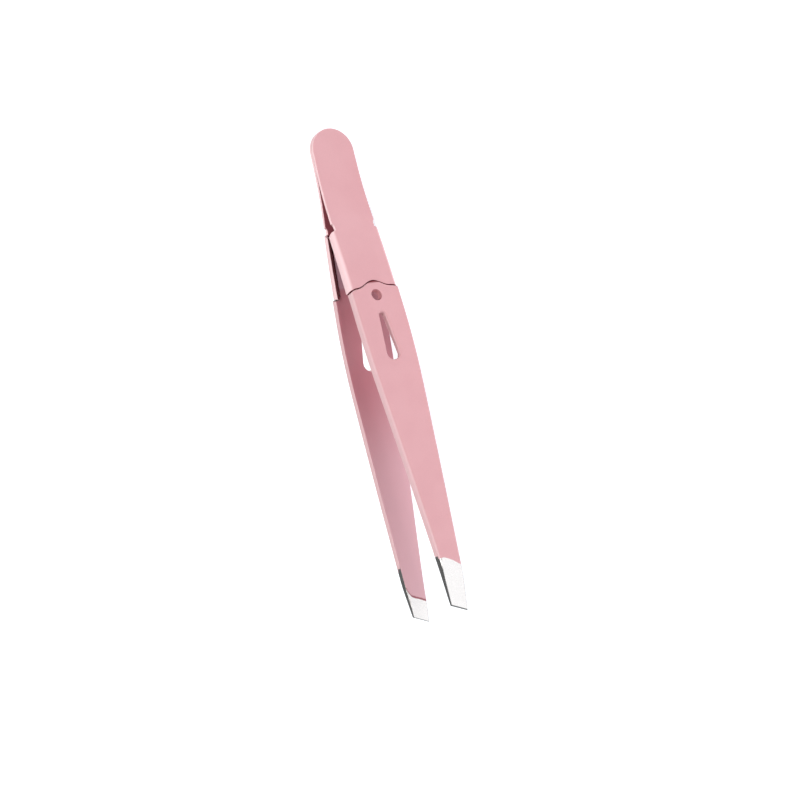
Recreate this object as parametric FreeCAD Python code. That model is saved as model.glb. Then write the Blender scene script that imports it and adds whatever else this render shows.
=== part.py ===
import FreeCAD, Part
import math
import os

# Slant tweezers, all sizes in millimetres.
# X runs along the tool with the head end at +X, Y runs across the two arms, Z runs across an arm's width.
# The front arm lies at -Y and the rear arm is its mirror image in the plane Y = 0.
# Stations are distances along an arm's outer face, counted from the head end.
# Depths are counted from the outer face towards the mid-plane.

total_length = 95.0

# Bend line of an arm's outer face: (station, angle away from the mid-plane in degrees).
# Each step between two entries is one arc, or a straight where the angle stays the same.
bend_line = (
    (7.6, 0.0),
    (18.0, 9.2),
    (22.0, 9.2),
    (40.0, 5.45),
    (50.0, 4.4),
    (70.0, 3.5),
    (85.0, 3.05),
    (97.0, -2.2),
)

# Spring leaf: a thin strip with a round-ended tongue and a channel-shaped sleeve.
leaf_t = 0.62
tongue_head_half_width = 4.58
tongue_neck_half_width = 4.81
neck_at = 18.8
notch_depth = 0.36
notch_curve = 0.5
notch_slope_share = 0.62
root_overlap = 0.8
sleeve_half_width = 5.34
sleeve_bend_radius = 1.0
sleeve_from = 20.15
wing_top_at = 20.9
wing_top_depth = 1.68
wing_bottom_depth = 2.12
wing_corner_radius = 0.35
wing_start_depth = 0.05
wing_swell_length = 0.25
wing_swell_depth = 0.6

# Parting line between sleeve and blade: a wave whose crest points to the head end.
wave_crest = 31.0
wave_rise = 1.25
wave_half_width = 3.8
wave_end_slope = 0.2
wave_lean = 0.16
parting_gap = 0.13

# Blade: a thicker strip with a tail inside the sleeve, a tapered body and a slanted tip.
blade_t = 1.5
blade_half_width = 5.42
taper_from = 44.6
taper_deg = 4.37
taper_blend = 7.0
shoulder_radius = 0.8
blade_outer_round = 0.5
blade_inner_round = 0.12
tail_from = 22.9
tail_half_width = 4.3
tail_corner_radius = 1.3
tail_flare = 0.3

# Openings in the blade.
hole_at = 33.86
hole_radius = 1.1
slot_narrow_at = 38.0
slot_narrow_radius = 0.57
slot_narrow_spread = 0.25
slot_wide_at = 45.3
slot_wide_radius = 1.17
slot_wide_spread = 0.55
slot_mouth_round = 0.45
opening_round = 0.12
opening_reach = 1.8

# Tip: slanted end, outer bevel and inner gripping facet.
slant_deg = 22.5
bevel_from = 85.9
bevel_depth = 0.83
closing_deg = 4.82
facet_gap = 0.01
facet_reach = 12.0

# Flexure: the tongue bends about this station, and a thin running gap stands for the bending zone.
flexure_at = 18.3
flexure_gap = 0.02

# Spot welds: discs of fused metal across two touching faces.
weld_radius = 1.0
weld_half_height = 0.3
head_welds_at = (3.2, 6.0)
tail_welds_at = (25.4, 28.8)

head_x = total_length / 2
block = 16.0


def arm_station(station):
    """X, Y and angle of the front arm's outer face at a station."""
    x = head_x
    y = -leaf_t
    angle = 0.0
    start = 0.0
    for end, end_deg in bend_line:
        step = min(station, end) - start
        turn = (math.radians(end_deg) - angle) * step / (end - start)
        chord = step
        if turn != 0:
            chord = 2 * step / turn * math.sin(turn / 2)
        x -= chord * math.cos(angle + turn / 2)
        y -= chord * math.sin(angle + turn / 2)
        angle += turn
        start = end
        if station <= end:
            break
    return x, y, angle


def arm_point(station, depth, z=0.0):
    """Point of the front arm at a station, a depth below the outer face and a height."""
    x, y, angle = arm_station(station)
    return FreeCAD.Vector(x - depth * math.sin(angle), y + depth * math.cos(angle), z)


def plan_point(station, z):
    """Point of the plane Y = 0 abreast of a station."""
    return FreeCAD.Vector(arm_station(station)[0], 0, z)


def on_arm(shape, station):
    """Copy of a shape, carried from local axes (x to the head, y inwards, z up) to a station."""
    x, y, angle = arm_station(station)
    turn = FreeCAD.Rotation(FreeCAD.Vector(0, 0, 1), math.degrees(angle))
    moved = shape.copy()
    moved.Placement = FreeCAD.Placement(FreeCAD.Vector(x, y, 0), turn).multiply(shape.Placement)
    return moved


def line(a, b):
    return Part.LineSegment(a, b).toShape()


def arc(a, b, c):
    return Part.Arc(a, b, c).toShape()


def wire(edges):
    return Part.Wire(Part.__sortEdges__(edges))


def polygon(points):
    return Part.Face(Part.makePolygon(points + points[:1]))


def side_block(edges):
    """Solid of an outline in the XY plane, extruded across the arm's width."""
    face = Part.Face(wire(edges))
    face.translate(FreeCAD.Vector(0, 0, -block / 2))
    return face.extrude(FreeCAD.Vector(0, 0, block))


def plan_block(edges):
    """Solid of an outline in the XZ plane, extruded across the front arm."""
    face = Part.Face(wire(edges))
    face.translate(FreeCAD.Vector(0, -block, 0))
    return face.extrude(FreeCAD.Vector(0, 2 * block, 0))


def arm_edges(depth, first, last):
    """Tangent arcs and straights that follow the arm at one depth between two stations."""
    edges = []
    start = 0.0
    start_deg = 0.0
    for end, end_deg in bend_line:
        a = max(start, first)
        b = min(end, last)
        if b > a and end_deg == start_deg:
            edges.append(line(arm_point(a, depth), arm_point(b, depth)))
        elif b > a:
            edges.append(arc(arm_point(a, depth), arm_point((a + b) / 2, depth), arm_point(b, depth)))
        start = end
        start_deg = end_deg
    return edges


def band(near, far, first, last):
    """Strip that follows the arm between two depths and two stations."""
    ends = [line(arm_point(s, near), arm_point(s, far)) for s in (first, last)]
    return side_block(arm_edges(near, first, last) + arm_edges(far, first, last) + ends)


def tongue_outline():
    """Plan of the tongue: full round end, gentle flare and half of the relief notches."""
    r = tongue_head_half_width
    w = tongue_neck_half_width
    narrow = w - notch_depth
    root = sleeve_half_width - sleeve_bend_radius
    root_at = sleeve_from + root_overlap
    edges = [arc(plan_point(r, r), plan_point(0, 0), plan_point(r, -r))]
    for sign in (1, -1):
        neck = plan_point(neck_at, sign * w)
        slope = plan_point(neck_at + notch_curve / 2, sign * (w - notch_depth * notch_slope_share))
        dip = plan_point(neck_at + notch_curve, sign * narrow)
        edges.append(line(plan_point(r, sign * r), neck))
        edges.append(arc(neck, slope, dip))
        edges.append(line(dip, plan_point(sleeve_from, sign * narrow)))
        edges.append(line(plan_point(sleeve_from, sign * narrow), plan_point(sleeve_from, sign * root)))
        edges.append(line(plan_point(sleeve_from, sign * root), plan_point(root_at, sign * root)))
    edges.append(line(plan_point(root_at, root), plan_point(root_at, -root)))
    return edges


def sleeve_section():
    """Closed C outline of the sleeve in local axes: base on y = 0, wings towards +y."""
    r = sleeve_bend_radius
    w = sleeve_half_width
    depth = wing_bottom_depth + 0.6
    edges = []
    for sign in (1, -1):
        for inset in (0.0, leaf_t):
            bend = r - inset
            diagonal = bend * math.sqrt(0.5)
            base = FreeCAD.Vector(0, inset, sign * (w - r))
            middle = FreeCAD.Vector(0, r - diagonal, sign * (w - r + diagonal))
            side = FreeCAD.Vector(0, r, sign * (w - inset))
            edges.append(arc(base, middle, side))
            edges.append(line(side, FreeCAD.Vector(0, depth, sign * (w - inset))))
        outer = FreeCAD.Vector(0, depth, sign * w)
        inner = FreeCAD.Vector(0, depth, sign * (w - leaf_t))
        edges.append(line(outer, inner))
    for inset in (0.0, leaf_t):
        edges.append(line(FreeCAD.Vector(0, inset, w - r), FreeCAD.Vector(0, inset, r - w)))
    return wire(edges)


def wing_trimmer():
    """Side-view block that gives the wings their neck curve, rounded corner and free edge."""
    bottom_at = wave_crest + 5.0
    depth = wing_bottom_depth + 2.0
    start = arm_point(sleeve_from, wing_start_depth)
    swell = arm_point(sleeve_from + wing_swell_length, wing_swell_depth)
    rise = arm_point(wing_top_at - wing_corner_radius * 0.5, wing_top_depth - wing_corner_radius)
    corner = arm_point(wing_top_at, wing_top_depth - wing_corner_radius * 0.3)
    edge = arm_point(wing_top_at + wing_corner_radius, wing_top_depth)
    half_depth = (wing_top_depth + wing_bottom_depth) / 2
    middle = arm_point((wing_top_at + bottom_at) / 2, half_depth)
    bottom = arm_point(bottom_at, wing_bottom_depth)
    far = arm_point(bottom_at, depth)
    back = arm_point(sleeve_from - 2.0, depth)
    front = arm_point(sleeve_from - 2.0, wing_start_depth)
    edges = [arc(start, swell, rise), arc(rise, corner, edge), arc(edge, middle, bottom)]
    edges += [line(bottom, far), line(far, back), line(back, front), line(front, start)]
    return side_block(edges)


def wave_station(z):
    """Station of the parting line at a height across the arm."""
    reach = min(abs(z), wave_half_width)
    swell = wave_rise * (1 - math.cos(math.pi * reach / wave_half_width)) / 2
    return wave_crest + swell + wave_end_slope * max(0.0, abs(z) - wave_half_width)


def parting_block(shift, length):
    """Leaning block bounded by the wave, on the tip side for a negative length."""
    reach = sleeve_half_width + 1.2
    steps = 16
    points = []
    for i in range(steps + 1):
        z = reach * (2 * i / steps - 1)
        points.append(FreeCAD.Vector(wave_crest - wave_station(z) - shift, 0, z))
    curve = Part.BSplineCurve()
    curve.interpolate(points)
    low = FreeCAD.Vector(length, 0, -reach)
    high = FreeCAD.Vector(length, 0, reach)
    edges = [curve.toShape(), line(points[-1], high), line(high, low), line(low, points[0])]
    lean = FreeCAD.Vector(-wave_lean, 1, 0)
    face = Part.Face(wire(edges))
    face.translate(lean * -3.0)
    return on_arm(face.extrude(lean * 9.0), wave_crest)


def spring_leaf():
    """Whole stamped leaf of the front arm: tongue and sleeve."""
    last = wave_crest + 4.0
    tongue = band(0, leaf_t, 0, last).common(plan_block(tongue_outline()))
    path = Part.Wire(arm_edges(0, sleeve_from, last))
    sleeve = path.makePipeShell([on_arm(sleeve_section(), sleeve_from)], True, False)
    sleeve = sleeve.cut(wing_trimmer()).cut(parting_block(0.0, -12.0))
    return tongue.fuse(sleeve)


def flexure_pin(radius):
    """Round of the bending zone, centred in the tongue's thickness."""
    centre = arm_point(flexure_at, leaf_t / 2, -block / 2)
    return Part.makeCylinder(radius, block, centre, FreeCAD.Vector(0, 0, 1))


def split_leaf():
    """Tongue and sleeve pieces of the leaf, parted by a round joint at the flexure."""
    leaf = spring_leaf()
    head_side = band(-1.0, leaf_t + 1.0, 0, flexure_at)
    tip_side = band(-1.0, wing_bottom_depth + 2.0, flexure_at, wave_crest + 6.0)
    tongue = leaf.common(head_side).cut(flexure_pin(leaf_t / 2 + flexure_gap))
    round_end = flexure_pin(leaf_t / 2).common(plan_block(tongue_outline()))
    sleeve = leaf.common(tip_side).fuse(round_end).removeSplitter()
    return tongue, sleeve


def blade_outline():
    """Plan of the blade's sides: parallel shoulders, then a blended straight taper."""
    delta = math.radians(taper_deg)
    apex = plan_point(taper_from, blade_half_width)
    length = taper_from + head_x
    bulge = taper_blend * math.tan(delta / 4)
    edges = []
    ends = []
    for sign in (1, -1):
        flat = FreeCAD.Vector(apex.x + taper_blend, 0, sign * apex.z)
        bow_z = sign * (apex.z - bulge * math.cos(delta / 2))
        bow = FreeCAD.Vector(apex.x + bulge * math.sin(delta / 2), 0, bow_z)
        taper_z = sign * (apex.z - taper_blend * math.sin(delta))
        taper = FreeCAD.Vector(apex.x - taper_blend * math.cos(delta), 0, taper_z)
        tip_z = sign * (apex.z - length * math.sin(delta))
        tip = FreeCAD.Vector(apex.x - length * math.cos(delta), 0, tip_z)
        top = plan_point(wave_crest - 4.0, sign * blade_half_width)
        edges += [line(top, flat), arc(flat, bow, taper), line(taper, tip)]
        ends += [top, tip]
    edges += [line(ends[0], ends[2]), line(ends[1], ends[3])]
    return edges


def tail_outline():
    """Plan of the tail: rounded corners at its end and a flare into the shoulders."""
    w = tail_half_width
    r = tail_corner_radius
    k = r * (1 - math.sqrt(0.5))
    f = tail_flare
    flare_at = wave_crest + wave_rise + parting_gap - f
    last = wave_crest + 4.0
    edges = [line(plan_point(tail_from, w - r), plan_point(tail_from, r - w))]
    for sign in (1, -1):
        corner = plan_point(tail_from + k, sign * (w - k))
        side = plan_point(tail_from + r, sign * w)
        edges.append(arc(plan_point(tail_from, sign * (w - r)), corner, side))
        edges.append(line(side, plan_point(flare_at, sign * w)))
        bow = plan_point(flare_at + f * math.sqrt(0.5), sign * (w + f * (1 - math.sqrt(0.5))))
        wide = plan_point(flare_at + f, sign * (w + f))
        edges.append(arc(plan_point(flare_at, sign * w), bow, wide))
        edges.append(line(wide, plan_point(last, sign * (w + f))))
    edges.append(line(plan_point(last, w + f), plan_point(last, -w - f)))
    return edges


def long_edges(shape, depth):
    """Edges that run lengthwise along the blade's sides at one depth."""
    found = []
    for edge in shape.Edges:
        box = edge.BoundBox
        middle = edge.valueAt((edge.FirstParameter + edge.LastParameter) / 2)
        inner = min(abs(middle.y - arm_y(middle.x, depth)), 1.0)
        if box.XLength > 3.0 and inner < 0.02 and abs(middle.z) > 0.5:
            found.append(edge)
    return found


def arm_y(x, depth):
    """Y of the arm's surface at one depth where it passes a given X."""
    low = 0.0
    high = bend_line[-1][0]
    for _ in range(50):
        middle = (low + high) / 2
        if arm_point(middle, depth).x > x:
            low = middle
        else:
            high = middle
    return arm_point(low, depth).y


def rounded_bar():
    """Blade strip with its four long edges rounded, longer than needed at both ends."""
    bar = band(0, blade_t, wave_crest - 2.0, bend_line[-1][0]).common(plan_block(blade_outline()))
    bar = bar.makeFillet(blade_outer_round, long_edges(bar, 0))
    return bar.makeFillet(blade_inner_round, long_edges(bar, blade_t))


def corner_cutter(sign):
    """Waste outside the rounded corner of one shoulder."""
    r = shoulder_radius
    w = blade_half_width
    top = wave_station(w - r) + parting_gap - 0.02
    k = r * (1 - math.sqrt(0.5))
    a = plan_point(top, sign * (w - r))
    b = plan_point(top + k, sign * (w - k))
    c = plan_point(top + r, sign * w)
    d = plan_point(top + r, sign * (w + 1))
    e = plan_point(top - 2, sign * (w + 1))
    f = plan_point(top - 2, sign * (w - r))
    return plan_block([arc(a, b, c), line(c, d), line(d, e), line(e, f), line(f, a)])


def round_hole():
    """Drilled hole, square to the outer face."""
    drill = Part.makeCylinder(hole_radius, 6, FreeCAD.Vector(0, -3, 0), FreeCAD.Vector(0, 1, 0))
    return on_arm(drill, hole_at)


def teardrop(depth):
    """Outline of the slot at a depth: narrow round end to the head, wide round end to the tips."""
    share = depth / blade_t
    narrow_r = slot_narrow_radius + slot_narrow_spread * share
    wide_r = slot_wide_radius + slot_wide_spread * share
    reach = slot_wide_at - slot_narrow_at
    lean = math.asin((wide_r - narrow_r) / reach)
    narrow = FreeCAD.Vector(reach, depth, 0)
    wide = FreeCAD.Vector(0, depth, 0)
    up = FreeCAD.Vector(math.sin(lean), 0, math.cos(lean))
    down = FreeCAD.Vector(math.sin(lean), 0, -math.cos(lean))
    a = narrow + up * narrow_r
    b = narrow + down * narrow_r
    c = wide + down * wide_r
    d = wide + up * wide_r
    narrow_end = arc(a, narrow + FreeCAD.Vector(narrow_r, 0, 0), b)
    wide_end = arc(c, wide - FreeCAD.Vector(wide_r, 0, 0), d)
    return wire([narrow_end, line(b, c), wide_end, line(d, a)])


def teardrop_slot():
    """Slot whose walls spread towards the inner face."""
    above = -0.2 * blade_t
    below = 1.2 * blade_t
    return on_arm(Part.makeLoft([teardrop(above), teardrop(below)], True, True), slot_wide_at)


def rim_edges(shape, first, last, depth):
    """Edges of the openings' mouths between two stations, on the face at one depth."""
    low = arm_station(last)[0]
    high = arm_station(first)[0]
    found = []
    for edge in shape.Edges:
        box = edge.BoundBox
        middle = edge.valueAt((edge.FirstParameter + edge.LastParameter) / 2)
        between = box.XMin > low and box.XMax < high and max(-box.ZMin, box.ZMax) < opening_reach
        if between and abs(middle.y - arm_y(middle.x, depth)) < 0.02:
            found.append(edge)
    return found


def round_mouths(body):
    """Blade with a wide round on the slot's outer mouth and a slight one on every other mouth."""
    above = hole_at - opening_reach
    between = hole_at + opening_reach
    below = slot_wide_at + 2 * opening_reach
    body = body.makeFillet(slot_mouth_round, rim_edges(body, between, below, 0))
    slight = rim_edges(body, above, between, 0) + rim_edges(body, above, below, blade_t)
    return body.makeFillet(opening_round, slight)


def tip_half_width():
    """Half width of the taper at the slanted end."""
    return blade_half_width - (total_length - taper_from) * math.tan(math.radians(taper_deg))


def slant_cutter():
    """Waste beyond the slanted end: the long corner lies at -Z and reaches the full length."""
    slope = math.tan(math.radians(slant_deg))
    z = tip_half_width()
    low = FreeCAD.Vector(-head_x - slope * (block / 2 - z), 0, -block / 2)
    high = FreeCAD.Vector(-head_x + slope * (block / 2 + z), 0, block / 2)
    far_low = FreeCAD.Vector(-head_x - block, 0, -block / 2)
    far_high = FreeCAD.Vector(-head_x - block, 0, block / 2)
    return plan_block([line(low, high), line(high, far_high), line(far_high, far_low), line(far_low, low)])


def bevel_cutter():
    """Waste outside the outer bevel, whose crease runs parallel to the slanted end."""
    slant = math.radians(slant_deg)
    start = arm_point(bevel_from, 0)
    end = arm_point(total_length - tip_half_width() * math.tan(slant), bevel_depth)
    run = end - start
    run.normalize()
    across = FreeCAD.Vector(math.sin(slant), 0, math.cos(slant))
    a = start + across * 8 - run * 4
    b = start - across * 8 - run * 4
    face = polygon([a, b, b + run * 24, a + run * 24])
    return face.extrude(FreeCAD.Vector(0, -6, 0))


def facet_cutter():
    """Waste inside the gripping facet, which lies on the mid-plane when the arm is closed."""
    base = FreeCAD.Vector(-head_x - 2, -facet_gap, -block / 2)
    waste = Part.makeBox(facet_reach, 6, block, base)
    waste.rotate(arm_point(flexure_at, leaf_t / 2), FreeCAD.Vector(0, 0, 1), closing_deg)
    return waste


def blade():
    """Whole blade of the front arm: tail, body with its openings, and ground tip."""
    body = rounded_bar().cut(parting_block(parting_gap, 12.0))
    for sign in (1, -1):
        body = body.cut(corner_cutter(sign))
    last = wave_crest + 4.0
    tail = band(leaf_t, blade_t, tail_from - 1.0, last).common(plan_block(tail_outline()))
    body = body.fuse(tail).removeSplitter()
    body = body.cut(round_hole()).cut(teardrop_slot())
    body = round_mouths(body)
    for waste in (slant_cutter(), bevel_cutter(), facet_cutter()):
        body = body.cut(waste)
    return body


def weld_disc(station, depth):
    """Disc of fused metal centred at a depth."""
    base = FreeCAD.Vector(0, depth - weld_half_height, 0)
    disc = Part.makeCylinder(weld_radius, 2 * weld_half_height, base, FreeCAD.Vector(0, 1, 0))
    return on_arm(disc, station)


def mirrored(shape):
    return shape.mirror(FreeCAD.Vector(0, 0, 0), FreeCAD.Vector(0, 1, 0))


def write(name, shape):
    shape.exportStep("parts/" + name + ".step")


def main():
    os.makedirs("parts", exist_ok=True)
    head_welds = [weld_disc(s, leaf_t) for s in head_welds_at]
    tail_welds = [weld_disc(s, leaf_t) for s in tail_welds_at]
    tongue, sleeve = split_leaf()
    tongue = tongue.cut(Part.Compound(head_welds))
    sleeve = sleeve.cut(Part.Compound(tail_welds))
    front_blade = blade().cut(Part.Compound(tail_welds))
    write("head_welds", Part.Compound(head_welds))
    arm = {
        "leaf_tongue": tongue,
        "leaf_sleeve": sleeve,
        "blade": front_blade,
        "tail_welds": Part.Compound(tail_welds),
    }
    for name, shape in arm.items():
        write("front_" + name, shape)
        write("rear_" + name, mirrored(shape))


main()
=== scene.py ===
import math
import bpy
import numpy as np
from mathutils import Matrix, Vector
from mathutils.geometry import delaunay_2d_cdt


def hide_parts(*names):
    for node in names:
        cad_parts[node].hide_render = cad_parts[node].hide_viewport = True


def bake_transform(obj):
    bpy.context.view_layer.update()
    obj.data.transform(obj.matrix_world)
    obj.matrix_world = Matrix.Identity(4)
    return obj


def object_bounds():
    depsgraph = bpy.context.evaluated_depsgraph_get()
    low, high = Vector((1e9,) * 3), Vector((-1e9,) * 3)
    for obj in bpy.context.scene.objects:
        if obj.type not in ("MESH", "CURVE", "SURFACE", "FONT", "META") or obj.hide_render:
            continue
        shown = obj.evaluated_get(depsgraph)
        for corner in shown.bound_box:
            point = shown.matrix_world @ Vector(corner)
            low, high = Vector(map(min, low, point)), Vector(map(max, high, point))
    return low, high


# Slant tweezers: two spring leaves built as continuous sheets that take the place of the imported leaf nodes,
# with materials on every piece, a floor, lights and a camera.
# Lengths are millimetres unless a comment says metres, and MM turns them into Blender's metres.
# Stations are distances along an arm's outer face from the head end.
# Depths run from that face towards the mid-plane. Heights run across the arm's width.

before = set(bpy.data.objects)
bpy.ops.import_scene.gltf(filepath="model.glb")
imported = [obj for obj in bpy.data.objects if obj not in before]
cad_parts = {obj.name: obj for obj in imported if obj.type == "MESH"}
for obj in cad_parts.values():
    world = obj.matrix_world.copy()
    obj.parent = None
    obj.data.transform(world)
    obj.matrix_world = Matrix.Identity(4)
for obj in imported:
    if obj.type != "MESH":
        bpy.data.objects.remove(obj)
cad_low, cad_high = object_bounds()

MM = 0.001
HEAD_X = cad_high.x / MM

# Bend line of an arm's outer face: (station, angle away from the mid-plane in degrees).
BEND_LINE = (
    (7.6, 0.0), (18.0, 9.2), (22.0, 9.2), (40.0, 5.45),
    (50.0, 4.4), (70.0, 3.5), (85.0, 3.05), (97.0, -2.2),
)
TABLE_STEP = 0.1

# Spring leaf: thickness, rounded rims, round-ended tongue, neck notches and folded sleeve.
# NECK_CURVE is (station past the neck, change of half width).
# WING_RISE is (station past the sleeve's start, depth of the edge).
LEAF_T = 0.62
EDGE_ROUND = 0.13
HEAD_R = 4.58
NECK_AT, NECK_HALF = 18.8, 4.81
NOTCH_AT, NOTCH_HALF, NOTCH_LENGTH = 19.3, 4.46, 0.45
NECK_CURVE = ((-0.08, -0.02), (0.2, -0.2))
TONGUE_STOP, TONGUE_NARROWS = 0.5, 0.01
SLEEVE_FROM = 20.15
SLEEVE_HALF = 5.34
FOLD_R = 1.0
FOLD_FROM = SLEEVE_HALF - FOLD_R
WING_TOP_AT, WING_TOP_DEPTH = 21.25, 1.68
WING_END_AT, WING_END_DEPTH = 36.0, 2.12
WING_RISE = ((-0.06, 0.008), (0.1, 0.2), (0.25, 0.6), (0.4, 1.0), (0.57, 1.36), (0.74, 1.58))

# Parting line between sleeve and blade: a wave, and the leaf's end pulled back a little from it.
WAVE_CREST, WAVE_RISE, WAVE_HALF, WAVE_SLOPE, WAVE_LEAN = 31.0, 1.25, 3.8, 0.2, 0.16
LEAN_OVER = 3.0
LINE_GAP, LINE_GAP_EDGE = 0.09, 0.16
GAP_WIDENS_FROM, GAP_WIDENS_OVER = 2.5, 2.5
LINE_AT, LINE_END_AT, LINE_POINTS = 32.0, 32.8, 56
CORNER_REACH, CORNER_POINT, CORNER_CLEAR = 0.3, 3, 0.08
WING_STOP = 0.45

# Share of the full fold that stands for flat, so that the fold's radius stays finite.
ALMOST_FLAT = 1e-4

# Stretch of the tongue that bends when the arms are squeezed.
FLEX_FROM, FLEX_TO = 17.0, 19.6

# Spacing of the leaf's mesh.
HEAD_POINTS = 25
TONGUE_STEP, WING_STEP = 0.7, 0.6
ROWS = ((0.6, 16.0, 0.8), (16.0, 22.0, 0.3), (22.0, 33.0, 0.7))
FLAT_COLUMNS, BEND_COLUMNS, WING_COLUMN = 13, 9, 0.35
ROWS_BEND_FROM, ROWS_BEND_OVER, ROWS_STRETCH_OVER = 24.0, 8.0, 9.0
RIM_CLEARANCE = 0.12
MERGE_WITHIN = 1e-5
NO_RISE = 1e-12
NORMAL_WEIGHT = 60

# Ground tips: slant, half width of the end, width of the ground line along the end.
SLANT = math.radians(22.5)
TIP_HALF = 1.57
END_LINE = 0.22

# Where the lacquer stops: stations on the outer face, the inner face and the sides, and its edge's curves.
OUTER_PAINT_TO, INNER_PAINT_TO, SIDE_PAINT_TO = 85.1, 90.8, 84.0
BOW_CENTRE, BOW_POWER, BOW_RISE = 1.6, 1.5, 0.28
CURL_FROM, CURL_RISE = 1.0, 1.2
PAINT_WOBBLE = 0.06

# Stations and heights that part the blade's surfaces.
TAIL_TO = 31.2
SHOULDER_TO = 33.4
HOLE_TO, SLOT_FROM = 36.0, 37.5
OPENINGS_TO, OPENINGS_HALF = 49.0, 1.9
SLEEVE_INSIDE_FROM = 20.2
THROAT_TO, COOL_FROM = 46.0, 68.0


def bend_table():
    """Station, x, y and angle of the front arm's outer face, sampled along its arcs."""
    rows = [(0.0, HEAD_X, -LEAF_T, 0.0)]
    start, start_deg = 0.0, 0.0
    for end, end_deg in BEND_LINE:
        steps = max(1, round((end - start) / TABLE_STEP))
        for i in range(steps):
            middle = math.radians(start_deg + (end_deg - start_deg) * (i + 0.5) / steps)
            step = (end - start) / steps
            station, x, y, _ = rows[-1]
            angle = math.radians(start_deg + (end_deg - start_deg) * (i + 1) / steps)
            rows.append((station + step, x - step * math.cos(middle), y - step * math.sin(middle), angle))
        start, start_deg = end, end_deg
    return np.array(rows)


TABLE = bend_table()


def arm_point(station, depth, z):
    """Points of the front arm in the row frame, in millimetres."""
    x = np.interp(station, TABLE[:, 0], TABLE[:, 1])
    y = np.interp(station, TABLE[:, 0], TABLE[:, 2])
    angle = np.interp(station, TABLE[:, 0], TABLE[:, 3])
    return np.stack([x - depth * np.sin(angle), y + depth * np.cos(angle), z], axis=-1)


def tip_x(station):
    """X of the outer face at one station."""
    return float(np.interp(station, TABLE[:, 0], TABLE[:, 1]))


def smooth(t):
    """Smooth step from 0 to 1."""
    t = np.clip(t, 0.0, 1.0)
    return t * t * (3 - 2 * t)


def wave_station(z):
    """Station of the parting line at a height across the arm."""
    reach = np.minimum(np.abs(z), WAVE_HALF)
    swell = WAVE_RISE * (1 - np.cos(np.pi * reach / WAVE_HALF)) / 2
    return WAVE_CREST + swell + WAVE_SLOPE * np.maximum(0.0, np.abs(z) - WAVE_HALF)


def fold(station, across, inward):
    """Height and depth of leaf points: the flat pattern folds into wings past the notch."""
    bent = np.maximum(smooth((station - NECK_AT) / (SLEEVE_FROM - NECK_AT)), ALMOST_FLAT)
    side = np.sign(across)
    beyond = np.maximum(np.abs(across) - FOLD_FROM, 0.0)
    arc = np.minimum(beyond, FOLD_R * math.pi / 2)
    theta = arc * bent / FOLD_R
    radius = FOLD_R / bent
    straight = beyond - arc
    height = np.minimum(np.abs(across), FOLD_FROM) + radius * np.sin(theta) + straight * np.cos(theta)
    depth = radius * (1 - np.cos(theta)) + straight * np.sin(theta)
    return side * (height - inward * np.sin(theta)), depth + inward * np.cos(theta)


def leaf_place(station, across, inward):
    """Leaf points from the flat pattern, in the row frame."""
    z, depth = fold(station, across, inward)
    _, face_depth = fold(station, across, 0.0 * inward)
    lean = WAVE_LEAN * (depth - face_depth) * smooth((station - WAVE_CREST + LEAN_OVER) / LEAN_OVER)
    return arm_point(station + lean, depth, z)


def wing_across(depth):
    """Distance across the flat pattern at which a wing reaches a depth."""
    if depth < FOLD_R:
        return FOLD_FROM + FOLD_R * math.acos(1 - depth / FOLD_R)
    return FOLD_FROM + FOLD_R * math.pi / 2 + depth - FOLD_R


def wing_depth(station):
    """Depth of a wing's free edge at a station."""
    share = (station - WING_TOP_AT) / (WING_END_AT - WING_TOP_AT)
    return WING_TOP_DEPTH + (WING_END_DEPTH - WING_TOP_DEPTH) * share


def resample(points, step):
    """Points at even steps along a polyline, both ends kept."""
    points = np.array(points, float)
    lengths = np.concatenate([[0], np.cumsum(np.linalg.norm(np.diff(points, axis=0), axis=1))])
    count = max(2, round(lengths[-1] / step) + 1)
    at = np.linspace(0, lengths[-1], count)
    return np.stack([np.interp(at, lengths, points[:, 0]), np.interp(at, lengths, points[:, 1])], axis=1)


def spline(points, per=8):
    """Catmull-Rom curve through points."""
    p = [np.array(q, float) for q in points]
    p = [2 * p[0] - p[1]] + p + [2 * p[-1] - p[-2]]
    out = []
    for i in range(1, len(p) - 2):
        for k in range(per):
            t = k / per
            a = 2 * p[i]
            b = p[i + 1] - p[i - 1]
            c = 2 * p[i - 1] - 5 * p[i] + 4 * p[i + 1] - p[i + 2]
            d = -p[i - 1] + 3 * p[i] - 3 * p[i + 1] + p[i + 2]
            out.append((a + b * t + c * t * t + d * t ** 3) / 2)
    out.append(p[-2])
    return np.array(out)


def rounded_corner(before, corner, after, reach, steps=5):
    """Short curve that replaces a sharp corner."""
    b = np.array(before, float) - corner
    a = np.array(after, float) - corner
    b = corner + b / np.linalg.norm(b) * reach
    a = corner + a / np.linalg.norm(a) * reach
    t = np.linspace(0, 1, steps)[:, None]
    return b * (1 - t) ** 2 + 2 * np.array(corner) * t * (1 - t) + a * t ** 2


def leaf_end():
    """Half of the wavy end along the parting line, from a wing's free edge to the middle."""
    across = np.linspace(wing_across(wing_depth(LINE_END_AT)), 0, LINE_POINTS)
    z, depth = fold(np.full(LINE_POINTS, LINE_AT), across, np.zeros(LINE_POINTS))
    gap = LINE_GAP + (LINE_GAP_EDGE - LINE_GAP) * smooth((np.abs(z) - GAP_WIDENS_FROM) / GAP_WIDENS_OVER)
    return np.stack([wave_station(z) - gap + WAVE_LEAN * depth, across], axis=1)


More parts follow.
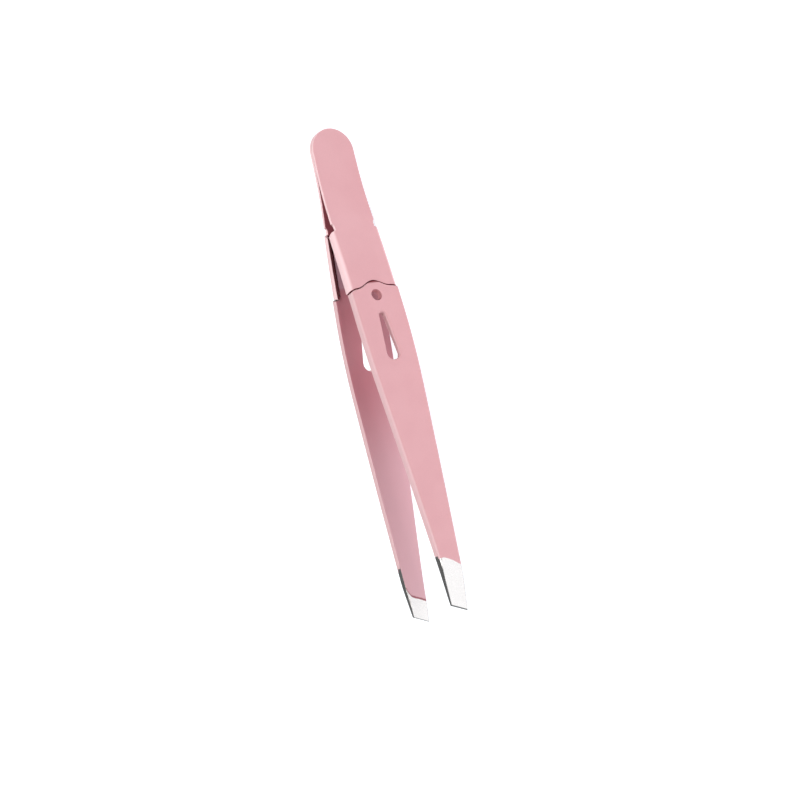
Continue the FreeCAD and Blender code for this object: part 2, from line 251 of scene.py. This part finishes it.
def leaf_outline():
    """Closed flat outline of a leaf: (station, distance across), head end first."""
    turn = np.radians(np.linspace(0, 90, HEAD_POINTS))
    end = np.stack([HEAD_R * (1 - np.cos(turn)), HEAD_R * np.sin(turn)], axis=1)
    side = resample([end[-1], (NECK_AT - TONGUE_STOP, NECK_HALF - TONGUE_NARROWS)], TONGUE_STEP)
    neck = [(NECK_AT + a, NECK_HALF + b) for a, b in NECK_CURVE]
    dip = [(NOTCH_AT, NOTCH_HALF), (NOTCH_AT + NOTCH_LENGTH, NOTCH_HALF)]
    wing_top = [(SLEEVE_FROM + a, wing_across(d)) for a, d in WING_RISE]
    notch = spline([side[-1], *neck, *dip, *wing_top, (WING_TOP_AT, wing_across(WING_TOP_DEPTH))])
    bottom = leaf_end()
    corner = np.array([bottom[0, 0], wing_across(wing_depth(bottom[0, 0]))])
    wing = resample([notch[-1], corner - (WING_STOP, 0.0)], WING_STEP)
    wing[:, 1] = [wing_across(wing_depth(s)) for s in wing[:, 0]]
    turn_in = rounded_corner(wing[-1], corner, bottom[CORNER_POINT], CORNER_REACH)
    bottom = bottom[np.abs(bottom[:, 1]) < turn_in[-1, 1] - CORNER_CLEAR]
    half = np.concatenate([end[:-1], side[:-1], notch[:-1], wing[:-1], turn_in, bottom])
    other = half[1:-1][::-1] * (1, -1)
    return np.concatenate([half, other])


def outward(outline):
    """Unit normals that point out of a closed outline given head end first, positive side first."""
    along = np.roll(outline, -1, axis=0) - np.roll(outline, 1, axis=0)
    normal = np.stack([-along[:, 1], along[:, 0]], axis=1)
    return normal / np.linalg.norm(normal, axis=1)[:, None]


def inside(points, outline):
    """Which points lie inside a closed outline: those with an odd number of its edges ahead of them."""
    a = outline
    b = np.roll(outline, -1, axis=0)
    x, y = points[:, :1], points[:, 1:]
    crosses = (a[:, 1] > y) != (b[:, 1] > y)
    rise = b[:, 1] - a[:, 1]
    rise = np.where(rise == 0, NO_RISE, rise)
    at = a[:, 0] + (y - a[:, 1]) * (b[:, 0] - a[:, 0]) / rise
    return (crosses & (x < at)).sum(axis=1) % 2 == 1


def rim_rings(thickness, edge, steps=4):
    """Inset and depth of each ring of points around a rounded rim, from one face to the other."""
    rings = []
    for k in range(steps + 1):
        turn = math.pi / 2 * k / steps
        rings.append((edge * (1 - math.sin(turn)), edge * (1 - math.cos(turn))))
    return rings + [(inset, thickness - inward) for inset, inward in reversed(rings)]


def rim_faces(ring_count, count):
    """Quads between neighbouring rings of equal length."""
    faces = []
    for r in range(ring_count - 1):
        for i in range(count):
            j = (i + 1) % count
            faces.append((r * count + i, (r + 1) * count + i, (r + 1) * count + j, r * count + j))
    return faces


def flat_net(outline, normal, grid, edge):
    """Triangles of a sheet's flat face: its points, the triangles and each point's source."""
    count = len(outline)
    rim = outline - normal * edge
    guard = outline - normal * (edge + RIM_CLEARANCE)
    grid = grid[inside(grid, guard)]
    points = [Vector(p) for p in np.concatenate([rim, grid])]
    ring = [(i, (i + 1) % count) for i in range(count)]
    verts, _, tris, origin, _, _ = delaunay_2d_cdt(points, ring, [list(range(count))], 1, MERGE_WITHIN)
    return np.array([tuple(v) for v in verts]), tris, origin


def sheet(outline, grid, place, thickness, edge):
    """Vertices and faces of a closed sheet with rounded rims, from a flat outline and inner grid points."""
    normal = outward(outline)
    rings = rim_rings(thickness, edge)
    count = len(outline)
    vertices = []
    for inset, inward in rings:
        flat = outline - normal * inset
        vertices.append(place(flat[:, 0], flat[:, 1], np.full(count, inward)))
    faces = rim_faces(len(rings), count)
    points, tris, origin = flat_net(outline, normal, grid, edge)
    for first, inward, flip in ((0, 0.0, True), ((len(rings) - 1) * count, thickness, False)):
        base = sum(len(v) for v in vertices)
        new = []
        index = []
        for v, o in enumerate(origin):
            if o and min(o) < count:
                index.append(first + min(o))
            else:
                index.append(base + len(new))
                new.append(points[v])
        new = np.array(new)
        vertices.append(place(new[:, 0], new[:, 1], np.full(len(new), inward)))
        for t in tris:
            tri = [index[i] for i in t]
            faces.append(tuple(reversed(tri)) if flip else tuple(tri))
    return np.concatenate(vertices), faces


def mesh_object(name, vertices, faces, material):
    """Smooth-shaded object from points in millimetres."""
    mesh = bpy.data.meshes.new(name)
    mesh.from_pydata((vertices * MM).tolist(), [], faces)
    mesh.validate()
    mesh.polygons.foreach_set("use_smooth", [True] * len(mesh.polygons))
    mesh.materials.append(material)
    obj = bpy.data.objects.new(name, mesh)
    bpy.context.scene.collection.objects.link(obj)
    weighted = obj.modifiers.new("even_normals", "WEIGHTED_NORMAL")
    weighted.keep_sharp = True
    weighted.weight = NORMAL_WEIGHT
    return obj


def leaf_grid():
    """Inner grid of the flat pattern: even rows, and closer columns through the folds."""
    rows = np.concatenate([np.arange(*row) for row in ROWS])
    flat = np.linspace(-FOLD_FROM, FOLD_FROM, FLAT_COLUMNS)
    bend = FOLD_FROM + FOLD_R * math.pi / 2 * np.linspace(0, 1, BEND_COLUMNS)[1:]
    wing = np.array([WING_COLUMN]) + bend[-1]
    columns = np.concatenate([-wing, -bend[::-1], flat, bend, wing])
    s, q = np.meshgrid(rows, columns, indexing="ij")
    past = s - ROWS_BEND_FROM
    wave = wave_station(np.clip(q, -SLEEVE_HALF, SLEEVE_HALF)) - WAVE_CREST
    shift = wave * smooth(past / ROWS_BEND_OVER)
    return np.stack([(s + shift * past.clip(0) / ROWS_STRETCH_OVER).ravel(), q.ravel()], axis=1)


def build_leaf(side, sign, material):
    """One continuous spring leaf. Sign 1 is the front arm, -1 its mirror image."""
    vertices, faces = sheet(leaf_outline(), leaf_grid(), leaf_place, LEAF_T, EDGE_ROUND)
    if sign < 0:
        vertices = vertices * (1, -1, 1)
        faces = [tuple(reversed(f)) for f in faces]
    obj = mesh_object(side + "_leaf", vertices, faces, material)
    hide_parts(side + "_leaf_tongue", side + "_leaf_sleeve")
    ends = arm_point(np.array([FLEX_FROM, FLEX_TO]), np.full(2, LEAF_T / 2), np.zeros(2))
    ends = ends * (1, sign, 1) * MM
    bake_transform(obj)


class Net:
    """Small helper that builds a material's node graph."""

    def __init__(self, name):
        self.material = bpy.data.materials.new(name)
        self.material.use_nodes = True
        self.tree = self.material.node_tree
        self.tree.nodes.clear()

    def add(self, kind, inputs=None, **settings):
        """New node with its settings, and each input linked or set."""
        node = self.tree.nodes.new("ShaderNode" + kind)
        for key, value in settings.items():
            setattr(node, key, value)
        for key, value in (inputs or {}).items():
            if isinstance(value, bpy.types.NodeSocket):
                self.tree.links.new(value, node.inputs[key])
            else:
                node.inputs[key].default_value = value
        return node

    def math(self, operation, a, b=0.0, clamp=False):
        return self.add("Math", {0: a, 1: b}, operation=operation, use_clamp=clamp).outputs[0]

    def mix(self, factor, a, b):
        return self.add("Mix", {0: factor, 6: a, 7: b}, data_type="RGBA").outputs[2]

    def between(self, value, low, high, to_low=0.0, to_high=1.0, soft=True):
        """Value carried from the range low..high to the range to_low..to_high, and held at both ends."""
        kind = "SMOOTHSTEP" if soft else "LINEAR"
        inputs = {0: value, 1: low, 2: high, 3: to_low, 4: to_high}
        return self.add("MapRange", inputs, interpolation_type=kind).outputs[0]

    def noise(self, vector, scale, detail=2.0, roughness=0.5):
        inputs = {"Vector": vector, "Scale": scale, "Detail": detail, "Roughness": roughness}
        return self.add("TexNoise", inputs).outputs["Fac"]

    def edge_facing(self, radius):
        """1 on flat ground, less where an edge with this radius turns the surface."""
        bevel = self.add("Bevel", {"Radius": radius * MM}, samples=BEVEL_SAMPLES)
        normal = self.add("NewGeometry").outputs["Normal"]
        inputs = {0: bevel.outputs[0], 1: normal}
        return self.add("VectorMath", inputs, operation="DOT_PRODUCT").outputs["Value"]

    def finish(self, shader):
        self.add("OutputMaterial", {"Surface": shader})
        return self.material


# Lacquer: outer faces between two tones, then where each other colour is used.
PINK = (0.75, 0.385, 0.41, 1.0)
PINK_DEEP = (0.715, 0.35, 0.375, 1.0)
PINK_INNER_SHADE = (0.68, 0.39, 0.43, 1.0)  # painted shade and painted cool reflection on the blades' inner faces near the tips
PINK_THROAT_SHADE = (0.60, 0.25, 0.29, 1.0)  # painted shade on the blades' inner faces near the shoulders
PINK_TONGUE_SHADE = (0.35, 0.07, 0.095, 1.0)  # painted shade on the tongues' inner faces
PINK_TAIL_SHADE = (0.62, 0.37, 0.43, 1.0)  # painted shade on the tails' inner faces
PINK_SLEEVE_SHADE = (0.04, 0.006, 0.01, 1.0)  # painted shade inside the sleeves
PINK_EDGE = (0.84, 0.60, 0.62, 1.0)  # worn edges
PINK_SIDE_HIGHLIGHT = (0.75, 0.48, 0.50, 1.0)  # painted highlight on the blades' sides and slot walls
PINK_FOLD_HIGHLIGHT = (0.97, 0.68, 0.70, 1.0)  # painted highlight on the leaves' sides, folds and the rims that face the head end
PINK_SHADE = (0.24, 0.045, 0.055, 1.0)  # painted shade in narrow gaps, along the inner paint edge, on the hole walls and on the tails
STEEL = (0.83, 0.79, 0.765, 1.0)
STEEL_LINES = (0.62, 0.61, 0.60, 1.0)
STEEL_DARK = (0.12, 0.12, 0.118, 1.0)

# Noise scales per millimetre, and the range in which a noise value mostly lies.
DRIFT_SCALE, SPECKLE_SCALE, PEEL_SCALE, SATIN_SCALE, WOBBLE_SCALE = 0.16, 7.0, 2.6, 0.9, 1.6
LINE_SCALE, CLOUD_SCALE, FLOOR_SCALE = (18.0, 18.0, 0.9), 0.8, 0.02
NOISE_LOW, NOISE_HIGH = 0.3, 0.7
BEVEL_SAMPLES = 4
WEAR_RADIUS, GRIND_RADIUS = 0.16, 0.18
LACQUER_ROUGH, STEEL_ROUGH = (0.36, 0.46), (0.20, 0.36)
PEEL_HEIGHT, GRIND_HEIGHT = 0.012, 0.006


def object_mm(net):
    """Object coordinates in millimetres, and the object's own normal."""
    coordinates = net.add("TexCoord")
    inputs = {0: coordinates.outputs["Object"], 3: 1 / MM}
    scaled = net.add("VectorMath", inputs, operation="SCALE").outputs[0]
    return scaled, coordinates.outputs["Normal"]


def lacquer(net, mm, across, side_highlight_colour, shade, inner, inner_shade_colour):
    """Satin pink lacquer: slow colour drift, fine speckle, orange peel and paler worn edges, with a painted
    highlight on sides and folds, painted shade on inner faces and darker painted shade in gaps.
    """
    drift = net.noise(mm, DRIFT_SCALE, 2.0)
    speckle = net.noise(mm, SPECKLE_SCALE, 3.0, 0.6)
    peel = net.noise(mm, PEEL_SCALE, 2.0)
    colour = net.mix(net.between(drift, NOISE_LOW, NOISE_HIGH, 0.0, 0.55), PINK, PINK_DEEP)
    colour = net.mix(net.between(across, 0.15, 0.75, 0.0, 0.85), colour, side_highlight_colour)
    speck = net.between(speckle, 0.25, 0.75, 0.965, 1.03, soft=False)
    colour = net.add("VectorMath", {0: colour, 3: speck}, operation="SCALE").outputs[0]
    patchy = net.between(speckle, 0.35, 0.6, 0.25, 0.7)
    worn = net.math("MULTIPLY", net.between(net.edge_facing(WEAR_RADIUS), 0.985, 0.86), patchy)
    colour = net.mix(net.math("MULTIPLY", worn, net.between(shade, 0.5, 0.0)), colour, PINK_EDGE)
    colour = net.mix(inner, colour, inner_shade_colour)
    colour = net.mix(shade, colour, PINK_SHADE)
    satin = net.noise(mm, SATIN_SCALE, 3.0)
    height = net.math("ADD", net.math("MULTIPLY", peel, 0.7), net.math("MULTIPLY", speckle, 0.3))
    bump = net.add("Bump", {"Strength": 0.35, "Distance": PEEL_HEIGHT * MM, "Height": height})
    return net.add("BsdfPrincipled", {
        "Base Color": colour,
        "Roughness": net.between(satin, NOISE_LOW, NOISE_HIGH, *LACQUER_ROUGH, soft=False),
        "IOR": 1.5,
        "Specular IOR Level": net.between(shade, 0.0, 1.0, 0.5, 0.05, soft=False),
        "Coat Weight": net.between(shade, 0.0, 1.0, 0.2, 0.0, soft=False),
        "Coat Roughness": 0.22,
        "Normal": bump.outputs[0],
    }).outputs[0]


def ground_steel(net, mm, side=None):
    """Bright ground steel with fine lines that run parallel to the slanted end, darker on its side faces."""
    inputs = {"Vector": mm, "Axis": (0, 1, 0), "Angle": SLANT}
    turned = net.add("VectorRotate", inputs, rotation_type="AXIS_ANGLE").outputs[0]
    stretched = net.add("VectorMath", {0: turned, 1: LINE_SCALE}, operation="MULTIPLY").outputs[0]
    lines = net.noise(stretched, 1.0, 3.0, 0.6)
    cloud = net.noise(mm, CLOUD_SCALE, 2.0)
    rough = net.between(lines, NOISE_LOW, NOISE_HIGH, *STEEL_ROUGH, soft=False)
    rough = net.math("ADD", rough, net.between(cloud, NOISE_LOW, NOISE_HIGH, -0.03, 0.05, soft=False))
    colour = net.mix(net.between(lines, NOISE_LOW, NOISE_HIGH, 0.0, 0.25), STEEL, STEEL_LINES)
    if side is not None:
        side = net.math("MAXIMUM", side, net.between(net.edge_facing(GRIND_RADIUS), 0.985, 0.90, 0.0, 0.8))
        colour = net.mix(side, colour, STEEL_DARK)
        rough = net.math("ADD", rough, net.math("MULTIPLY", side, 0.15))
    bump = net.add("Bump", {"Strength": 0.3, "Distance": GRIND_HEIGHT * MM, "Height": lines})
    return net.add("BsdfPrincipled", {
        "Base Color": colour,
        "Metallic": 1.0,
        "Roughness": rough,
        "Normal": bump.outputs[0],
    }).outputs[0]


def leaf_material():
    """Lacquer with painted shade: deeper on the arms' inner faces, near black inside the sleeves and dark at
    the parting line; and a painted highlight on the sides, folds and the rims that face the head end.
    """
    net = Net("leaf_lacquer")
    mm, normal = object_mm(net)
    x, y, z = net.add("SeparateXYZ", {0: mm}).outputs
    facing_x, facing_y, facing_z = net.add("SeparateXYZ", {0: normal}).outputs
    outward_face = net.math("MULTIPLY", facing_y, net.math("SIGN", y))
    outward_side = net.math("MULTIPLY", facing_z, net.math("SIGN", z))
    # Painted shade on the leaves' inner faces: deep pink on the tongues, near black inside the sleeves.
    inner = net.between(net.math("MINIMUM", outward_face, outward_side), -0.75, -0.92, 0.0, 0.9)
    covered = net.between(x, tip_x(SLEEVE_INSIDE_FROM), tip_x(SLEEVE_INSIDE_FROM + 1.0))
    in_sleeve = net.math("MULTIPLY", net.math("MULTIPLY", inner, covered), 0.5)
    # Painted shade in the gap colour: on the leaf's end at the parting line, and inside the sleeves.
    shade = net.math("MAXIMUM", net.between(facing_x, -0.45, -0.75), in_sleeve)
    inner_shade_colour = net.mix(covered, PINK_TONGUE_SHADE, PINK_SLEEVE_SHADE)
    # Painted highlight on the sides, the folds and the rims that face the head end.
    rim = net.math("MAXIMUM", outward_side, net.math("MULTIPLY", facing_x, 1.4))
    return net.finish(lacquer(net, mm, rim, PINK_FOLD_HIGHLIGHT, shade, inner, inner_shade_colour))


def paint_edge(net, mm, z, is_outer, is_inner):
    """X at which the lacquer stops: bowed outside, slanted and curled inside, straight on the sides."""
    wobble = net.noise(mm, WOBBLE_SCALE, 3.0)
    wobble = net.between(wobble, NOISE_LOW, NOISE_HIGH, -PAINT_WOBBLE, PAINT_WOBBLE, soft=False)
    bow = net.math("POWER", net.math("ABSOLUTE", net.math("SUBTRACT", z, BOW_CENTRE)), BOW_POWER)
    outer_x = net.math("SUBTRACT", tip_x(OUTER_PAINT_TO), net.math("MULTIPLY", bow, BOW_RISE))
    inner_x = net.math("ADD", tip_x(INNER_PAINT_TO), net.math("MULTIPLY", z, math.tan(SLANT)))
    curl = net.math("MAXIMUM", net.math("SUBTRACT", z, CURL_FROM), 0.0)
    curl = net.math("MULTIPLY", net.math("MULTIPLY", curl, curl), CURL_RISE)
    inner_x = net.math("ADD", inner_x, curl)
    edge_x = net.add("Mix", {0: is_outer, 2: tip_x(SIDE_PAINT_TO), 3: outer_x}).outputs[0]
    edge_x = net.add("Mix", {0: is_inner, 2: edge_x, 3: inner_x}).outputs[0]
    return net.math("ADD", edge_x, wobble)


def ground_sides(net, x, z, facing_x, facing_z, is_outer):
    """Where the bare tip is darker: its sides, its end, a fine line along the end's outer edge, and painted
    shade on faces that turn downwards.
    """
    faces = net.math("MAXIMUM", net.math("ABSOLUTE", facing_z), net.math("MULTIPLY", facing_x, -1.0))
    # Painted shade on faces that turn downwards.
    lower = net.between(facing_z, -0.25, -0.6, 0.0, 0.5)
    sides = net.math("MAXIMUM", net.between(faces, 0.8, 0.95), lower)
    slant = net.math("MULTIPLY", net.math("ADD", z, TIP_HALF), math.tan(SLANT))
    from_end = net.math("SUBTRACT", x, slant)
    end_line = net.between(from_end, END_LINE - HEAD_X, 0.5 * END_LINE - HEAD_X)
    return net.math("MAXIMUM", sides, net.math("MULTIPLY", end_line, is_outer))


def blade_material():
    """Lacquer that stops short of the ground tips, along its own line on each face."""
    net = Net("blade_lacquer")
    mm, normal = object_mm(net)
    x, y, z = net.add("SeparateXYZ", {0: mm}).outputs
    facing_x, facing_y, facing_z = net.add("SeparateXYZ", {0: normal}).outputs
    outward_face = net.math("MULTIPLY", facing_y, net.math("SIGN", y))
    is_outer = net.between(outward_face, -0.25, 0.25)
    is_inner = net.between(outward_face, -0.35, -0.6)
    ahead = net.math("SUBTRACT", paint_edge(net, mm, z, is_outer, is_inner), x)
    bare = net.between(ahead, -0.05, 0.05)
    sides = ground_sides(net, x, z, facing_x, facing_z, is_outer)

    # Painted shade: along the inner paint edge, on the shoulders' end, on the hole's walls and on the tail
    # under the sleeve.
    shade = net.math("MULTIPLY", net.between(ahead, -0.50, -0.28, 0.0, 0.75), is_inner)
    at_shoulder = net.between(x, tip_x(SHOULDER_TO + 0.2), tip_x(SHOULDER_TO))
    shoulder = net.math("MULTIPLY", net.between(facing_x, 0.45, 0.75), at_shoulder)
    shade = net.math("MAXIMUM", shade, shoulder)
    edgeward = net.between(net.math("ABSOLUTE", z), OPENINGS_HALF, OPENINGS_HALF + 0.2)
    wall = net.between(net.math("ABSOLUTE", facing_y), 0.85, 0.4, 0.0, 0.2)
    before_openings_end = net.between(x, tip_x(OPENINGS_TO + 1.0), tip_x(OPENINGS_TO))
    opening = net.math("MULTIPLY", net.math("SUBTRACT", 1.0, edgeward), before_openings_end)
    slot_wall = net.math("MULTIPLY", opening, net.between(x, tip_x(HOLE_TO), tip_x(SLOT_FROM)))
    hole_wall_shade = net.math("MULTIPLY", wall, net.math("SUBTRACT", opening, slot_wall))
    shade = net.math("MAXIMUM", shade, hole_wall_shade)
    on_tail = net.between(x, tip_x(TAIL_TO + 0.4), tip_x(TAIL_TO))
    shade = net.math("MAXIMUM", shade, net.math("SUBTRACT", on_tail, is_inner, clamp=True))

    # Painted highlight on the side faces and slot walls.
    across = net.math("MULTIPLY", net.math("ABSOLUTE", facing_z), edgeward)
    across = net.math("MULTIPLY", across, net.between(x, tip_x(TAIL_TO), tip_x(TAIL_TO + 0.4)))
    slot_wall_highlight = net.math("MULTIPLY", wall, net.math("MULTIPLY", slot_wall, 5.0))
    across = net.math("MAXIMUM", across, slot_wall_highlight)

    # Painted shade on the inner faces: deepest near the shoulders, lighter and cooler towards the tips, and
    # on the tails.
    cooler = net.between(x, tip_x(THROAT_TO), tip_x(COOL_FROM))
    inner_shade_colour = net.mix(cooler, PINK_THROAT_SHADE, PINK_INNER_SHADE)
    near_tail = net.between(x, tip_x(TAIL_TO + 0.3), tip_x(TAIL_TO - 0.7))
    inner_shade_colour = net.mix(near_tail, inner_shade_colour, PINK_TAIL_SHADE)
    paint = lacquer(net, mm, across, PINK_SIDE_HIGHLIGHT, shade, is_inner, inner_shade_colour)
    steel = ground_steel(net, mm, sides)
    return net.finish(net.add("MixShader", {0: bare, 1: paint, 2: steel}).outputs[0])


def weld_material():
    """Ground steel for the hidden spot welds."""
    net = Net("weld_metal")
    mm, _ = object_mm(net)
    return net.finish(ground_steel(net, mm))


# Floor: glow, half width and drop below the tool, in metres.
FLOOR_GLOW = 0.82
FLOOR_HALF = 1.6
FLOOR_DROP = 0.00002

# Surround: strength in front and behind, and the Y of the directions between which it changes.
WORLD_FRONT, WORLD_BACK = 0.016, 0.064
WORLD_FROM, WORLD_TO = -0.3, 0.9


def floor():
    """Level pale floor under the blades' lower edges, lit from within like a light table."""
    net = Net("pale_floor")
    mm, _ = object_mm(net)
    tone = net.between(net.noise(mm, FLOOR_SCALE, 2.0), NOISE_LOW, NOISE_HIGH, 0.44, 0.46, soft=False)
    colour = net.add("CombineColor", {0: tone, 1: tone, 2: tone}).outputs[0]
    shader = net.add("BsdfPrincipled", {
        "Base Color": colour,
        "Roughness": 0.9,
        "Specular IOR Level": 0.1,
        "Emission Color": (0.95, 1.0, 1.05, 1.0),
        "Emission Strength": FLOOR_GLOW,
    }).outputs[0]
    material = net.finish(shader)
    z = cad_low.z - FLOOR_DROP
    corners = [(FLOOR_HALF * a, FLOOR_HALF * b, z) for a, b in ((-1, -1), (1, -1), (1, 1), (-1, 1))]
    mesh = bpy.data.meshes.new("floor")
    mesh.from_pydata(corners, [], [(0, 1, 2, 3)])
    mesh.materials.append(material)
    obj = bpy.data.objects.new("floor", mesh)
    bpy.context.scene.collection.objects.link(obj)


def soft_light(name, place, size, watts, tint=(1.0, 1.0, 1.0)):
    """Rectangular light that faces the tool, with its place and size in metres."""
    data = bpy.data.lights.new(name, "AREA")
    data.shape = "RECTANGLE"
    data.size = size[0]
    data.size_y = size[1]
    data.energy = watts
    data.color = tint
    obj = bpy.data.objects.new(name, data)
    bpy.context.scene.collection.objects.link(obj)
    obj.location = place
    obj.rotation_mode = "QUATERNION"
    obj.rotation_quaternion = (Vector() - Vector(place)).to_track_quat("-Z", "Y")


def studio_world():
    """Dim surround, a little brighter behind the tool. The camera itself sees plain white past the floor."""
    world = bpy.data.worlds.new("surround")
    world.use_nodes = True
    tree = world.node_tree
    tree.nodes.clear()
    coordinates = tree.nodes.new("ShaderNodeTexCoord")
    split = tree.nodes.new("ShaderNodeSeparateXYZ")
    ramp = tree.nodes.new("ShaderNodeMapRange")
    ramp.inputs[1].default_value = WORLD_FROM
    ramp.inputs[2].default_value = WORLD_TO
    ramp.inputs[3].default_value = WORLD_FRONT
    ramp.inputs[4].default_value = WORLD_BACK
    path = tree.nodes.new("ShaderNodeLightPath")
    seen = tree.nodes.new("ShaderNodeMath")
    seen.operation = "MAXIMUM"
    background = tree.nodes.new("ShaderNodeBackground")
    background.inputs["Color"].default_value = (1.0, 1.0, 1.0, 1.0)
    output = tree.nodes.new("ShaderNodeOutputWorld")
    tree.links.new(coordinates.outputs["Generated"], split.inputs[0])
    tree.links.new(split.outputs[1], ramp.inputs[0])
    tree.links.new(ramp.outputs[0], seen.inputs[0])
    tree.links.new(path.outputs["Is Camera Ray"], seen.inputs[1])
    tree.links.new(seen.outputs[0], background.inputs["Strength"])
    tree.links.new(background.outputs[0], output.inputs[0])
    bpy.context.scene.world = world


# Camera: elevation above the front, lean past the tips, roll, aim and distance from it, lens.
ELEVATION = math.radians(34.307)
LEAN = math.radians(-7.379)
ROLL = math.atan(0.235)
AIM = (-0.125, -4.0, 0.0)
DISTANCE = 548.7
FOCAL_LENGTH, SENSOR_WIDTH = 132.15, 36.0
SHIFT = (0.0069, -0.0423)
NEAR_CLIP = 0.01  # metres


def camera():
    """Long lens from the front, above and beyond the tips, rolled so that the head end is up."""
    away = Vector((
        math.sin(LEAN),
        -math.cos(LEAN) * math.cos(ELEVATION),
        math.cos(LEAN) * math.sin(ELEVATION),
    ))
    up = (Vector((1, 0, 0)) - away * away.x).normalized()
    right = (-away).cross(up)
    up_rolled = up * math.cos(ROLL) + right * math.sin(ROLL)
    right_rolled = right * math.cos(ROLL) - up * math.sin(ROLL)
    place = Vector(AIM) * MM + away * DISTANCE * MM
    data = bpy.data.cameras.new("camera")
    data.sensor_width = SENSOR_WIDTH
    data.lens = FOCAL_LENGTH
    data.shift_x = SHIFT[0]
    data.shift_y = SHIFT[1]
    data.clip_start = NEAR_CLIP
    obj = bpy.data.objects.new("camera", data)
    bpy.context.scene.collection.objects.link(obj)
    axes = Matrix((right_rolled, up_rolled, away)).transposed().to_4x4()
    obj.matrix_world = Matrix.Translation(place) @ axes
    bpy.context.scene.camera = obj


leaf_paint = leaf_material()
for side, sign in (("front", 1), ("rear", -1)):
    build_leaf(side, sign, leaf_paint)

blade_paint = blade_material()
weld_metal = weld_material()
for name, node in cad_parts.items():
    kept = leaf_paint
    if name.endswith("_blade"):
        kept = blade_paint
    elif name.endswith("_welds"):
        kept = weld_metal
    for slot in node.material_slots:
        slot.material = kept

floor()
studio_world()
soft_light("overhead", (0, 0, 0.70), (0.9, 0.5), 3.1)
soft_light("upper_front", (0.05, -0.45, 0.60), (0.9, 0.16), 3.4)
soft_light("behind", (0.13, 0.70, 0.48), (0.9, 0.3), 1.5)
soft_light("front", (0, -0.85, 0.08), (0.9, 0.2), 0.6, (1.0, 0.94, 0.90))
camera()
bpy.context.scene.view_settings.view_transform = "Standard"
